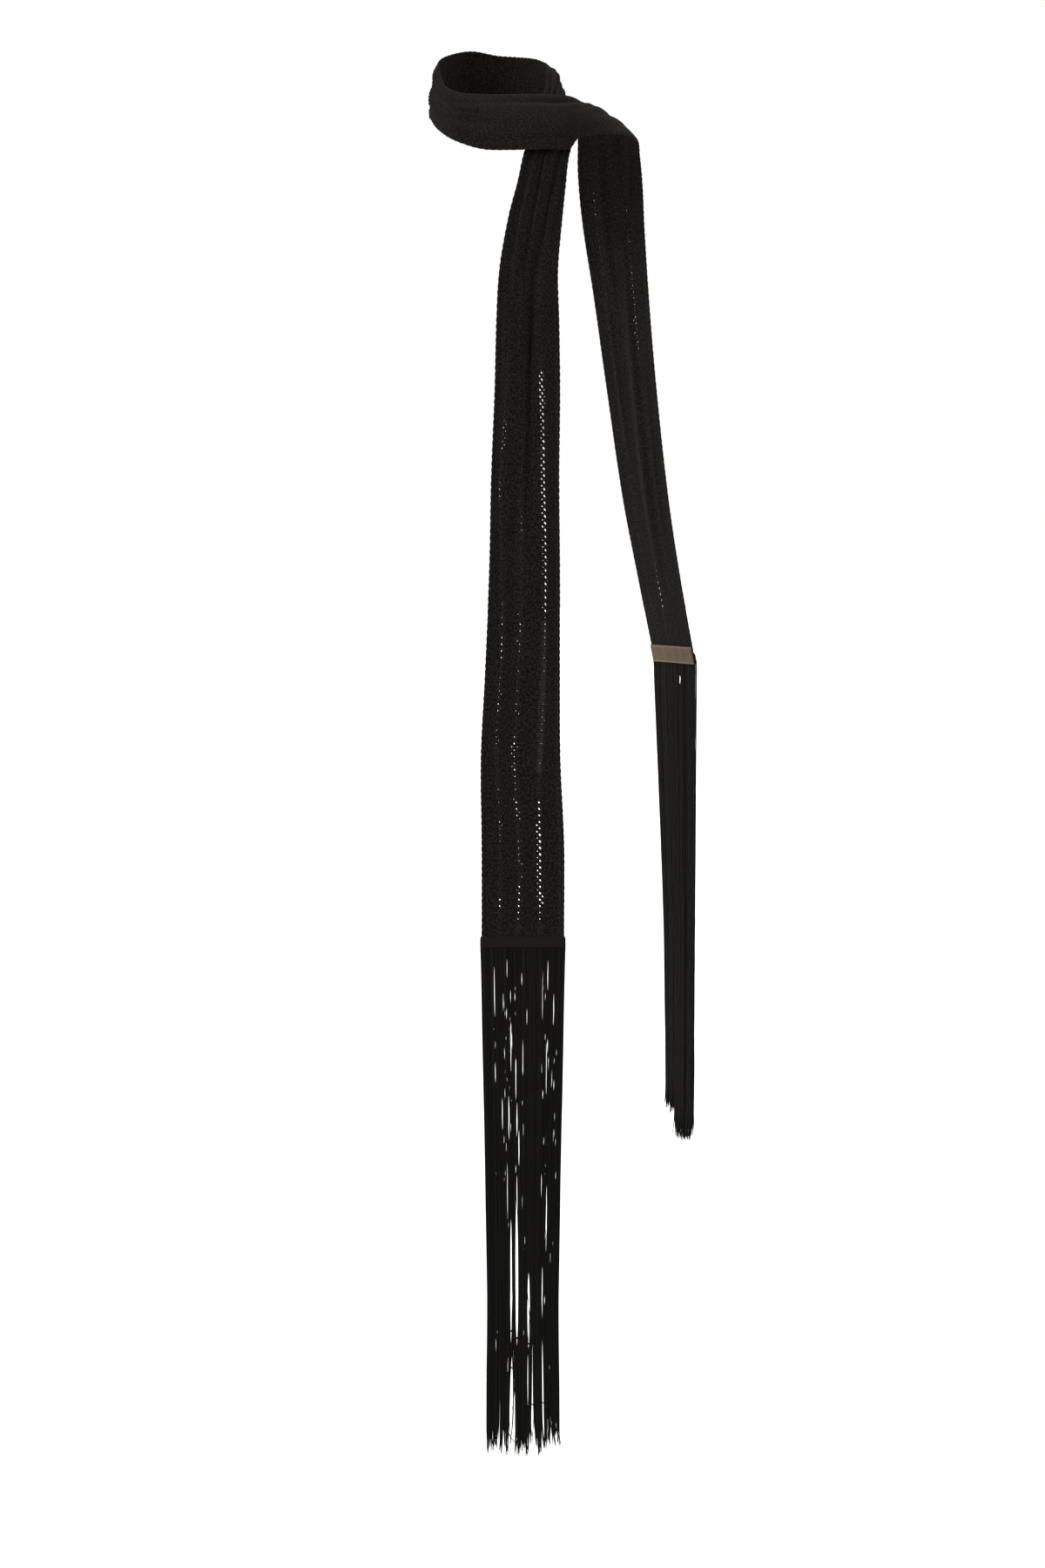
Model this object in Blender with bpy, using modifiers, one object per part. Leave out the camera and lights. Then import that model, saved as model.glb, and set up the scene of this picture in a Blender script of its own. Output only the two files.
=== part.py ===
"""A narrow openwork knit scarf with a long thread fringe at both ends, worn once round the neck.

The scarf is one strip of knit. From its front hem it hangs up the front of the chest, passes under its own
crossing, goes round the right, the back and the left of the neck (right as seen from the front), crosses the
front of the neck, goes over the right shoulder and hangs down the back to its other hem.

The whole strip is one surface, worked out from SECTIONS: a short row for each place where its width, its
direction or its lean changes. Each stretch is a length of that surface, thickened to WALL. Folds are long
hollows or ridges laid along it. +Z is up, the chest faces -Y, and the origin is the middle of the neck loop.
"""

import math
import random
from bisect import bisect_right
from collections import namedtuple

import bmesh
import bpy
from mathutils import Vector

MM = 0.001

WALL = 2.0 * MM  # thickness of the knit
SEAM = 0.3 * MM  # gap between neighbouring pieces
RIM_LEAN = 0.1 * MM  # allowance for the rims of two stretches, which lean together where the strip bends
PANEL_ROW = 19.0 * MM  # spacing of mesh rows along the hanging ends
NECK_ROW = 8.0 * MM  # and round the neck
COLUMNS = 12  # faces across the strip
TANGENT_STEP = 0.5 * MM

HEADING_TALL = 10.7 * MM  # the fringe's woven heading
HEADING_THICK = 3.0 * MM
HEADING_PROUD = 1.5 * MM  # how far it stands past each edge of the knit

TAPE_ON_KNIT = 8.0 * MM  # the tape inside the back hem covers this much knit, and the heading below it
TAPE_THICK = 1.0 * MM

FRINGE_DROP = 547.0 * MM  # from a heading to the longest tips
STRAND = 0.8 * MM  # side of a strand
ROOT_SHARE = 0.7  # share of the heading's lower edge that is strand and not gap
ROW_APART = 1.5 * MM  # strands hang alternately this far apart, front to back
RAGGED = 4.0 * MM  # spread of the tips
SWAY = 0.08  # how far a strand strays to a side, in pitches

# One row for each section of the strip, from the front hem to the back hem, in millimetres and degrees.
# stretch: the stretch that the section starts or lies in. x, y, z: middle of the cloth's width.
# width: from its inner edge to its outer edge. heading, dip: which way that line points, round from +X and
# below the horizontal. crown: how far the middle of the width bulges out.
Section = namedtuple("Section", "stretch x y z width heading dip crown")
SECTIONS = [
    Section("front_panel", 26.8, -128.0, -836.0, 83.4, 0, 0, 0),
    Section("front_panel", 26.8, -128.0, -743.0, 83.0, 0, 0, 0),
    Section("front_panel", 24.5, -128.0, -655.0, 79.5, 0, 0, 1),
    Section("front_panel", 26.4, -128.0, -567.0, 74.2, 0, 0, 2),
    Section("front_panel", 28.5, -128.0, -464.0, 69.4, 0, 0, 3),
    Section("front_panel", 29.0, -126.8, -379.0, 66.5, 0, 0, 4),
    Section("front_panel", 31.1, -123.8, -295.0, 63.7, 0, 0, 5),
    Section("front_panel", 31.5, -118.2, -228.0, 61.0, 0, 0, 5),
    Section("front_panel", 32.4, -111.6, -178.0, 57.0, 0, 0, 4),
    Section("front_panel", 39.0, -102.4, -127.0, 52.8, 3, 0, 4),
    Section("front_panel", 45.0, -95.0, -94.0, 48.0, 8, 0, 4),
    Section("front_panel", 49.6, -88.5, -67.0, 45.8, 13, 1, 3),
    Section("neck_rise", 57.5, -70.0, -39.5, 44.2, 17, 13, 2),
    Section("neck_rise", 64.5, -44.0, -18.0, 42.0, 10, 26, 2),
    Section("neck_rise", 67.5, -17.0, -1.5, 47.0, -3, 41, 2),
    Section("neck_rise", 66.7, 9.5, 10.5, 60.0, -5, 55, 2),
    Section("neck_rise", 61.5, 34.5, 12.8, 65.5, 12, 63, 2),
    Section("neck_back", 52.0, 54.5, 14.0, 75.0, 28, 66, 3),
    Section("neck_back", 25.0, 73.5, 15.5, 79.0, 70, 69, 4),
    Section("neck_back", -2.0, 78.0, 17.0, 80.0, 98, 70, 4),
    Section("neck_back", -32.5, 70.0, 20.0, 80.0, 127, 73, 4),
    Section("neck_side", -53.5, 45.0, 16.8, 70.5, 150, 78, 5),
    Section("neck_side", -62.0, 19.0, 12.0, 57.5, 171, 81, 6),
    Section("neck_side", -60.5, -5.5, 1.5, 43.0, 201, 73, 4),
    Section("neck_side", -53.0, -36.0, -14.0, 46.8, 241, 68, 4),
    Section("neck_front", -37.5, -63.0, -26.4, 55.5, 263, 63, 6),
    Section("neck_front", -12.5, -74.5, -32.7, 66.0, 268, 59, 6),
    Section("neck_front", 14.0, -79.0, -33.8, 69.0, 270, 57, 6),
    Section("neck_front", 42.0, -80.0, -33.5, 68.0, 276, 57, 6),
    Section("neck_front", 66.0, -68.0, -31.8, 67.0, 287, 57, 6),
    Section("shoulder", 76.0, -54.5, -25.5, 57.5, 286, 53, 6),
    Section("shoulder", 89.0, -34.5, -22.0, 60.5, 291, 41, 7),
    Section("shoulder", 100.5, -13.5, -19.5, 64.0, 321, 34, 9),
    Section("shoulder", 110.9, 15.0, -20.0, 72.5, 353, 28, 8),
    Section("shoulder", 115.5, 44.0, -37.5, 70.5, 347, 22, 7),
    Section("back_panel", 118.0, 65.0, -72.0, 75.0, 336, 14, 6),
    Section("back_panel", 122.0, 79.0, -115.0, 76.0, 327, 6, 5),
    Section("back_panel", 130.0, 88.0, -178.0, 78.0, 316, 0, 4),
    Section("back_panel", 142.0, 86.0, -279.0, 79.0, 309, 0, 3),
    Section("back_panel", 158.0, 79.0, -399.0, 80.0, 304, -1, 2),
    Section("back_panel", 173.0, 77.0, -483.0, 81.5, 300, -2, 1),
    Section("back_panel", 190.0, 83.0, -567.0, 83.4, 298, -2, 0),
]

# A fold runs between two distances from the front hem, along the strip, and moves across it as it goes:
# at and to are shares of the width. wide is in shares of the width, and a depth below zero is a ridge.
Fold = namedtuple("Fold", "start end at to wide depth")
FOLDS = [
    Fold(380, 640, 0.46, 0.46, 0.085, 4.0),  # the long trough of the front end, out from under the crossing
    Fold(500, 860, 0.45, 0.86, 0.085, 4.5),
    Fold(600, 850, 0.20, 0.14, 0.075, 3.0),
    Fold(590, 850, 0.44, 0.44, 0.075, 3.5),
    Fold(680, 850, 0.95, 0.92, 0.060, 2.0),
    Fold(835, 960, 0.22, 0.20, 0.140, -5.0),  # the upper edge rolls out beside the neck
    Fold(840, 1000, 0.62, 0.66, 0.110, 2.5),
    Fold(980, 1150, 0.36, 0.42, 0.100, 2.5),  # behind the neck
    Fold(1110, 1260, 0.60, 0.55, 0.120, 2.5),
    Fold(1215, 1400, 0.17, 0.17, 0.060, 2.2),  # the soft crease below the upper edge of the front band
    Fold(1330, 1500, 0.62, 0.50, 0.090, 2.0),  # over the shoulder
    Fold(1420, 1640, 0.30, 0.36, 0.080, 2.5),
    Fold(1500, 1940, 0.62, 0.52, 0.085, 4.0),  # the back end's trough
]
FOLD_EASE = 0.35  # share of a fold's length in which it grows, at each end

# A lock is a share of the strands that hangs together: its place along the heading, its place at the tips
# and how far its tips end short of the longest, in millimetres.
Lock = namedtuple("Lock", "root_from root_to tip_from tip_to short")
FRONT_LOCKS = [
    Lock(0.00, 0.37, 0.01, 0.34, 4),
    Lock(0.37, 0.63, 0.41, 0.61, 0),
    Lock(0.63, 0.77, 0.66, 0.77, 6),
    Lock(0.77, 1.00, 0.81, 0.99, 12),
]
BACK_LOCKS = [
    Lock(0.00, 0.34, 0.02, 0.31, 44),
    Lock(0.34, 0.72, 0.35, 0.69, 14),
    Lock(0.72, 1.00, 0.72, 0.98, 18),
]

# What a fringe does on its way down: the share of the drop, its width against the heading's, how far each
# strand has left its root's place for its lock's, and how far the whole fringe leans outward, in millimetres.
Level = namedtuple("Level", "drop spread gathered lean")
FRONT_LEVELS = [
    Level(0.03, 0.985, 0.0, 0.0),
    Level(0.66, 0.860, 0.8, 0.0),
    Level(1.00, 0.905, 1.0, 0.0),
]
BACK_LEVELS = [
    Level(0.03, 0.985, 0.0, 0.0),
    Level(0.62, 0.760, 0.8, 6.5),
    Level(1.00, 0.720, 1.0, 8.5),
]

# strands: how many hang from the heading. seed: for the ragged tips and for the way the strands stray.
Fringe = namedtuple("Fringe", "name strands locks levels seed")
FRONT_FRINGE = Fringe("fringe_front", 100, FRONT_LOCKS, FRONT_LEVELS, 11)
BACK_FRINGE = Fringe("fringe_back", 88, BACK_LOCKS, BACK_LEVELS, 23)

Look = namedtuple("Look", "name red green blue roughness")
KNIT_BLACK = Look("knit_black", 0.0120, 0.0112, 0.0098, 0.85)
THREAD_BLACK = Look("thread_black", 0.0085, 0.0082, 0.0072, 0.70)
TAPE_BEIGE = Look("tape_beige", 0.2600, 0.2050, 0.1350, 0.60)


def clear_scene():
    for obj in list(bpy.data.objects):
        bpy.data.objects.remove(obj, do_unlink=True)


def material(look):
    made = bpy.data.materials.new(look.name)
    made.use_nodes = True
    shader = made.node_tree.nodes["Principled BSDF"]
    shader.inputs["Base Color"].default_value = (look.red, look.green, look.blue, 1.0)
    shader.inputs["Roughness"].default_value = look.roughness
    shader.inputs["Metallic"].default_value = 0.0
    return made


def ease(t):
    t = min(1.0, max(0.0, t))
    return t * t * (3.0 - 2.0 * t)


class Track:
    """A smooth curve through values at given places: cubic, with each slope taken from both neighbours."""

    def __init__(self, places, values):
        self.places = places
        self.values = values
        last = len(places) - 1
        self.slopes = []
        for i in range(last + 1):
            before, after = max(i - 1, 0), min(i + 1, last)
            self.slopes.append((values[after] - values[before]) / (places[after] - places[before]))

    def at(self, place):
        last = len(self.places) - 2
        i = min(max(bisect_right(self.places, place) - 1, 0), last)
        span = self.places[i + 1] - self.places[i]
        t = (place - self.places[i]) / span
        a, b = self.values[i], self.values[i + 1]
        slope_a, slope_b = self.slopes[i] * span, self.slopes[i + 1] * span
        return (
            (2 * t**3 - 3 * t**2 + 1) * a
            + (t**3 - 2 * t**2 + t) * slope_a
            + (3 * t**2 - 2 * t**3) * b
            + (t**3 - t**2) * slope_b
        )


class Strip:
    """The middle surface of the whole scarf, by its distance from the front hem and its share across."""

    def __init__(self, sections):
        places = [0.0]
        for a, b in zip(sections, sections[1:]):
            places.append(places[-1] + math.dist((a.x, a.y, a.z), (b.x, b.y, b.z)) * MM)
        self.places = places
        self.length = places[-1]
        self.starts = {}
        for section, place in zip(sections, places):
            self.starts.setdefault(section.stretch, place)
        self.centre = [Track(places, [getattr(s, axis) * MM for s in sections]) for axis in "xyz"]
        self.width = Track(places, [s.width * MM for s in sections])
        self.heading = Track(places, unwrapped([s.heading for s in sections]))
        self.dip = Track(places, [float(s.dip) for s in sections])
        self.crown = Track(places, [s.crown * MM for s in sections])

    def on_cloth(self, place):
        return min(max(place, 0.0), self.length)

    def middle(self, place):
        """A place past a hem lies straight on from it."""
        held = self.on_cloth(place)
        point = Vector([track.at(held) for track in self.centre])
        return point if held == place else point + self.along(held) * (place - held)

    def along(self, place):
        """Unit vector along the strip, away from the front hem."""
        held = self.on_cloth(place)
        low = self.on_cloth(held - TANGENT_STEP)
        high = self.on_cloth(held + TANGENT_STEP)
        return (self.middle(high) - self.middle(low)).normalized()

    def across(self, place):
        """Unit vector from the strip's inner edge to its outer edge."""
        held = self.on_cloth(place)
        heading = math.radians(self.heading.at(held))
        dip = math.radians(self.dip.at(held))
        return Vector((math.cos(heading) * math.cos(dip), math.sin(heading) * math.cos(dip), -math.sin(dip)))

    def outward(self, place):
        """Unit vector out of the strip's outer face."""
        return self.across(place).cross(self.along(place)).normalized()

    def point(self, place, share, lift=0.0):
        """A point of the middle surface, moved out by lift."""
        held = self.on_cloth(place)
        bulge = self.crown.at(held) * (1.0 - (2.0 * share - 1.0) ** 2)
        for fold in FOLDS:
            bulge -= fold_depth(fold, held, share)
        sideways = self.across(place) * (self.width.at(held) * (share - 0.5))
        return self.middle(place) + sideways + self.outward(place) * (bulge + lift)


def unwrapped(angles):
    """The same directions with no jump of a whole turn between neighbours."""
    made = [float(angles[0])]
    for angle in angles[1:]:
        made.append(angle + 360.0 * round((made[-1] - angle) / 360.0))
    return made


def fold_depth(fold, place, share):
    start, end = fold.start * MM, fold.end * MM
    t = (place - start) / (end - start)
    if not 0.0 < t < 1.0:
        return 0.0
    strength = ease(min(t, 1.0 - t) / FOLD_EASE)
    centre = fold.at + (fold.to - fold.at) * t
    return fold.depth * MM * strength * math.exp(-(((share - centre) / fold.wide) ** 2))


def add_object(name, bm, collection, surface):
    mesh = bpy.data.meshes.new(name)
    bm.to_mesh(mesh)
    bm.free()
    mesh.materials.append(surface)
    mesh.shade_smooth()
    obj = bpy.data.objects.new(name, mesh)
    collection.objects.link(obj)
    return obj


def sheet(name, strip, start, end, row, collection, surface, thick=WALL, lift=0.0):
    """A length of the strip as an open grid, thickened."""
    rows = max(1, round((end - start) / row))
    bm = bmesh.new()
    bmesh.ops.create_grid(bm, x_segments=COLUMNS, y_segments=rows, size=0.5)
    for vertex in bm.verts:
        place = start + (end - start) * (vertex.co.y + 0.5)
        vertex.co = strip.point(place, vertex.co.x + 0.5, lift)
    wall = add_object(name, bm, collection, surface).modifiers.new("wall", "SOLIDIFY")
    wall.thickness = thick
    wall.offset = 0.0
    wall.use_even_offset = True


def trim(strip, place):
    """Half a seam, as a distance along the strip's middle: it is longer where an edge or a face is on the
    inside of a bend, so that the gap there is SEAM too."""
    if place in (0.0, strip.length):
        return 0.0
    steps = []
    for i in range(COLUMNS + 1):
        for lift in (-WALL / 2, WALL / 2):
            before = strip.point(place - TANGENT_STEP, i / COLUMNS, lift)
            after = strip.point(place + TANGENT_STEP, i / COLUMNS, lift)
            steps.append((after - before).length)
    return (SEAM + RIM_LEAN) / 2 * (2.0 * TANGENT_STEP / min(steps))


def stretches(strip, collection, surface):
    names = list(strip.starts)
    ends = [strip.starts[name] for name in names[1:]] + [strip.length]
    for name, end in zip(names, ends):
        start = strip.starts[name]
        row = PANEL_ROW if name.endswith("panel") else NECK_ROW
        sheet(name, strip, start + trim(strip, start), end - trim(strip, end), row, collection, surface)


class Heading:
    """Where a fringe hangs from, at a hem: the way along the hem, out of its face and off the cloth's end."""

    def __init__(self, strip, place):
        self.width = strip.width.at(place) + 2.0 * HEADING_PROUD
        self.along = strip.across(place)
        self.out = strip.outward(place)
        self.off = strip.along(place) * (1.0 if place > 0.0 else -1.0)
        flush = self.out * ((HEADING_THICK - WALL) / 2)  # its inner face is in line with the knit's
        self.top = strip.middle(place) + self.off * SEAM + flush

    def point(self, along, out, below):
        """Off the hem down to the heading's lower edge, and plumb from there on."""
        hung = max(0.0, below - HEADING_TALL)
        plumb = Vector((0.0, 0.0, -hung))
        return self.top + self.along * along + self.out * out + self.off * (below - hung) + plumb


def strand_places(count, locks):
    """For each strand: its share along the heading, its share at the tips and its lock's shortness."""
    made = []
    for i in range(count):
        root = (i + 0.5) / count
        lock = next(each for each in locks if root <= each.root_to)
        within = (root - lock.root_from) / (lock.root_to - lock.root_from)
        made.append((root, lock.tip_from + within * (lock.tip_to - lock.tip_from), lock.short * MM))
    return made


def heading_block(bm, width, count):
    """A block whose lower face is a row of cells, a strand's and a gap's in turn. It returns the strands'."""
    pitch = width / (count + 1.0 - ROOT_SHARE)
    cells = 2 * count - 1
    bmesh.ops.create_grid(bm, x_segments=cells, y_segments=1, size=0.5)
    for vertex in bm.verts:
        corner = round((vertex.co.x + 0.5) * cells)
        along = -width / 2 + (corner // 2) * pitch + (corner % 2) * pitch * ROOT_SHARE
        vertex.co = Vector((along, vertex.co.y * HEADING_THICK, HEADING_TALL))
    raised = bmesh.ops.extrude_face_region(bm, geom=list(bm.faces))["geom"]
    for vertex in (item for item in raised if isinstance(item, bmesh.types.BMVert)):
        vertex.co.z = 0.0
    lower = [face for face in bm.faces if min(v.co.z for v in face.verts) > 0.0]
    lower.sort(key=lambda face: face.calc_center_median().x)
    return lower[0::2]


def fringe(kind, heading, collection, surface):
    """The heading and its strands as one body. Until the last step its points are along, out and below."""
    chance = random.Random(kind.seed)
    bm = bmesh.new()
    tips = heading_block(bm, heading.width, kind.strands)
    places = strand_places(kind.strands, kind.locks)
    drops = [FRINGE_DROP - short - abs(chance.gauss(0.0, RAGGED)) for _, _, short in places]
    sways = [chance.uniform(-SWAY, SWAY) * heading.width / kind.strands for _ in places]
    for level in kind.levels:
        tips = bmesh.ops.extrude_discrete_faces(bm, faces=tips)["faces"]
        tips.sort(key=lambda face: face.calc_center_median().x)
        for i, face in enumerate(tips):
            root, tip, _ = places[i]
            share = root + (tip - root) * level.gathered
            along = (share - 0.5) * heading.width * level.spread + sways[i] * level.gathered
            out = level.lean * MM + ROW_APART / 2 * (1 if i % 2 else -1)
            middle = face.calc_center_median()
            for vertex in face.verts:
                side = math.copysign(STRAND / 2, vertex.co.x - middle.x)
                front = math.copysign(STRAND / 2, vertex.co.y - middle.y)
                vertex.co = Vector((along + side, out + front, HEADING_TALL + drops[i] * level.drop))
    for vertex in bm.verts:
        vertex.co = heading.point(*vertex.co)
    bmesh.ops.recalc_face_normals(bm, faces=bm.faces)
    if bm.calc_volume(signed=True) < 0.0:
        bmesh.ops.reverse_faces(bm, faces=bm.faces)
    add_object(kind.name, bm, collection, surface)


def inner_tape(strip, collection, surface):
    """It lies on the inner face, over the join of knit and heading."""
    start = strip.length - TAPE_ON_KNIT
    end = strip.length + SEAM + HEADING_TALL
    lift = -(WALL / 2 + SEAM + TAPE_THICK / 2)
    sheet("inner_tape", strip, start, end, TAPE_ON_KNIT, collection, surface, TAPE_THICK, lift)


def main():
    clear_scene()
    collection = bpy.data.collections.new("knit_scarf")
    bpy.context.scene.collection.children.link(collection)
    strip = Strip(SECTIONS)
    stretches(strip, collection, material(KNIT_BLACK))
    thread = material(THREAD_BLACK)
    fringe(FRONT_FRINGE, Heading(strip, 0.0), collection, thread)
    fringe(BACK_FRINGE, Heading(strip, strip.length), collection, thread)
    inner_tape(strip, collection, material(TAPE_BEIGE))


main()
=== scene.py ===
"""Looks of the knit scarf: an openwork strip of knit, worn once round the neck, with a long thread fringe at
both ends and a beige tape inside the back hem.

The knit follows the same surface as the CAD solids, but has its own fine mesh: a row for each half course,
eyelets cut through it, scalloped edges, and ribs and gathers too fine for the solids. +Z is up, the chest
faces -Y, and lengths are in metres. The tables are in millimetres and degrees, as in part.py.
"""

import math
import random
from collections import namedtuple

import bpy
import numpy as np
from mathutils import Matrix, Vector


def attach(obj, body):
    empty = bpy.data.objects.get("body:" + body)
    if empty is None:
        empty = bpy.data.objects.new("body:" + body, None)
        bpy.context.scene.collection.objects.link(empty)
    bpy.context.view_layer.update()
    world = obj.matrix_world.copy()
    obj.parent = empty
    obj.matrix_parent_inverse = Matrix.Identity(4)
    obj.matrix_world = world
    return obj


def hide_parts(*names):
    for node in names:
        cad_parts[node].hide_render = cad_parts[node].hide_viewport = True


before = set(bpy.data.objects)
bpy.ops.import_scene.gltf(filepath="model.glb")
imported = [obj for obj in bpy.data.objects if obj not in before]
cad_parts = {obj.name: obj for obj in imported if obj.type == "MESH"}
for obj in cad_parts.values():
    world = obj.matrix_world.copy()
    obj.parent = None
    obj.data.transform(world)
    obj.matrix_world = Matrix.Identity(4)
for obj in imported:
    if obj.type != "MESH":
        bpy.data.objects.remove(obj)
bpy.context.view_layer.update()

MM = 0.001

# The photograph's view: 1200 x 1800 pixels, through a 50 mm lens on 36 mm of height.
CAMERA_AT = Vector((26.4, -2280.0, -370.0)) * MM
CAMERA_DOWN = 8.22  # degrees below the horizontal
LENS = 50.0
SENSOR_HEIGHT = 36.0
FLOOR_Z = -1470.0 * MM

# The strip's sections, from the front hem to the back hem, under the stretch that each starts or lies in: the
# middle of the cloth, its width, the heading and dip of the line across it, and how far the middle of the
# width bulges out.
SECTIONS = {
    "front_panel": [
        (26.8, -128, -836, 83.4, 0, 0, 0), (26.8, -128, -743, 83, 0, 0, 0),
        (24.5, -128, -655, 79.5, 0, 0, 1), (26.4, -128, -567, 74.2, 0, 0, 2),
        (28.5, -128, -464, 69.4, 0, 0, 3), (29, -126.8, -379, 66.5, 0, 0, 4),
        (31.1, -123.8, -295, 63.7, 0, 0, 5), (31.5, -118.2, -228, 61, 0, 0, 5),
        (32.4, -111.6, -178, 57, 0, 0, 4), (39, -102.4, -127, 52.8, 3, 0, 4), (45, -95, -94, 48, 8, 0, 4),
        (49.6, -88.5, -67, 45.8, 13, 1, 3),
    ],
    "neck_rise": [
        (57.5, -70, -39.5, 44.2, 17, 13, 2), (64.5, -44, -18, 42, 10, 26, 2),
        (67.5, -17, -1.5, 47, -3, 41, 2), (66.7, 9.5, 10.5, 60, -5, 55, 2),
        (61.5, 34.5, 12.8, 65.5, 12, 63, 2),
    ],
    "neck_back": [
        (52, 54.5, 14, 75, 28, 66, 3), (25, 73.5, 15.5, 79, 70, 69, 4), (-2, 78, 17, 80, 98, 70, 4),
        (-32.5, 70, 20, 80, 127, 73, 4),
    ],
    "neck_side": [
        (-53.5, 45, 16.8, 70.5, 150, 78, 5), (-62, 19, 12, 57.5, 171, 81, 6),
        (-60.5, -5.5, 1.5, 43, 201, 73, 4), (-53, -36, -14, 46.8, 241, 68, 4),
    ],
    "neck_front": [
        (-37.5, -63, -26.4, 55.5, 263, 63, 6), (-12.5, -74.5, -32.7, 66, 268, 59, 6),
        (14, -79, -33.8, 69, 270, 57, 6), (42, -80, -33.5, 68, 276, 57, 6),
        (66, -68, -31.8, 67, 287, 57, 6),
    ],
    "shoulder": [
        (76, -54.5, -25.5, 57.5, 286, 53, 6), (89, -34.5, -22, 60.5, 291, 41, 7),
        (100.5, -13.5, -19.5, 64, 321, 34, 9), (110.9, 15, -20, 72.5, 353, 28, 8),
        (115.5, 44, -37.5, 70.5, 347, 22, 7),
    ],
    "back_panel": [
        (118, 65, -72, 75, 336, 14, 6), (122, 79, -115, 76, 327, 6, 5), (130, 88, -178, 78, 316, 0, 4),
        (142, 86, -279, 79, 309, 0, 3), (158, 79, -399, 80, 304, -1, 2),
        (173, 77, -483, 81.5, 300, -2, 1), (190, 83, -567, 83.4, 298, -2, 0),
    ],
}
HEADING_COLUMN = 4  # where a section's heading is
TANGENT_STEP = 0.5 * MM

# Folds: where each starts and ends, from the front hem, its place across the strip at its start and its end
# and how wide it is, as shares of the width, and how deep. A depth below zero is a ridge.
FOLD_EASE = 0.35  # of a fold's length, over which it fades in and out
MAIN_FOLDS = [  # the solids have these too
    (380, 640, 0.46, 0.46, 0.085, 4), (500, 860, 0.45, 0.86, 0.085, 4.5), (600, 850, 0.2, 0.14, 0.075, 3),
    (590, 850, 0.44, 0.44, 0.075, 3.5), (680, 850, 0.95, 0.92, 0.06, 2), (835, 960, 0.22, 0.2, 0.14, -5),
    (840, 1000, 0.62, 0.66, 0.11, 2.5), (980, 1150, 0.36, 0.42, 0.1, 2.5),
    (1110, 1260, 0.6, 0.55, 0.12, 2.5), (1215, 1400, 0.17, 0.17, 0.06, 2.2),
    (1330, 1500, 0.62, 0.5, 0.09, 2), (1420, 1640, 0.3, 0.36, 0.08, 2.5),
    (1500, 1940, 0.62, 0.52, 0.085, 4),
]
SMALL_FOLDS = [
    # the furrow down the front end, with one steep side
    (360, 690, 0.45, 0.41, 0.055, -3), (360, 690, 0.57, 0.53, 0.065, 4.2),
    (360, 640, 0.66, 0.62, 0.09, 2), (600, 700, 0.58, 0.62, 0.04, 1), (640, 770, 0.74, 0.7, 0.04, 1.2),
    # between the front end's openwork columns
    (20, 240, 0.57, 0.61, 0.04, 0.9), (130, 420, 0.8, 0.84, 0.035, 1.2),
    (210, 520, 0.33, 0.36, 0.045, 1.3), (450, 700, 0.07, 0.1, 0.04, 1.1),
    # round the back and the left of the neck
    (905, 1010, 0.42, 0.46, 0.04, 1.2), (1085, 1215, 0.14, 0.12, 0.16, -3),
    (1030, 1190, 0.78, 0.8, 0.045, 1.3), (1090, 1230, 0.3, 0.24, 0.04, 1.5),
    (1130, 1250, 0.44, 0.4, 0.035, 1),
    # the front band
    (1235, 1330, 0.88, 0.8, 0.04, 0.5), (1290, 1420, 0.42, 0.3, 0.045, 0.7),
    (1380, 1520, 0.82, 0.76, 0.045, 1.4),
    # the back end
    (1560, 1800, 0.2, 0.26, 0.04, 1.2), (1650, 1900, 0.8, 0.76, 0.045, 1.3),
]

# The knit. Its mesh has a row for each half course and a column for each wale.
WALES = 64
HALF_COURSE = 0.825 * MM
ROWS_A_COURSE = 2
ROWS_A_REPEAT = 8  # of the openwork and of the scallops
FULL_WIDTH = 83.4 * MM  # of the knit at the hems, where nothing gathers it
HALF_THICK = 0.65 * MM
RIM_HALF_THICK = 0.4 * MM  # round an eyelet
COURSE_RELIEF = 0.17 * MM
SCALLOP = 0.45 * MM
SCALLOP_UNEVEN = 0.45
SCALLOP_REACH = (1.0, 0.55, 0.2)  # how much of a scallop the first wales from an edge take
EDGE_HALF_THICK = (0.5 * MM, 0.8 * MM, 0.75 * MM)

# Gathers: a distance from the front hem, how much cloth lies across the strip there, where the strip is
# narrower than that, and in how many ridges it gathers.
GATHERS = [
    (0, 50, 5), (560, 56, 8), (660, 56, 9), (760, 54, 9), (840, 60, 9), (950, 64, 9), (1050, 63, 11),
    (1080, 62, 14), (1120, 60, 16), (1180, 57, 16), (1220, 51, 14), (1360, 53, 11), (1430, 64, 8),
    (1500, 70, 6), (1984, 60, 6),
]
GATHER_EDGE = 0.08  # of the width at each edge, where the gathers fade out
GATHER_DRIFT = ((0.10, 71 * MM, 0.0), (0.06, 29 * MM, 1.0))  # of the ridges: size, wave and phase
GATHER_UNEVEN = ((0.35, 43 * MM, np.sin, 11.0), (0.20, 17 * MM, np.cos, 23.0))  # along, then across
GATHER_CROWDING = 0.12  # of a ridge, to and fro across the strip
GATHER_CROWDS = 7.0

# Where the three openwork columns run, at a distance from the front hem, as shares of the width: they drift
# where the cloth is tucked under.
DRIFTS = [
    (0, 0.205, 0.43, 0.705), (50, 0.225, 0.453, 0.705), (140, 0.22, 0.43, 0.715),
    (200, 0.19, 0.415, 0.765), (300, 0.21, 0.45, 0.8), (400, 0.155, 0.45, 0.8), (450, 0.12, 0.45, 0.785),
    (500, 0.147, 0.45, 0.76), (570, 0.185, 0.453, 0.712), (680, 0.203, 0.453, 0.703),
    (1984, 0.203, 0.453, 0.703),
]

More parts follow.
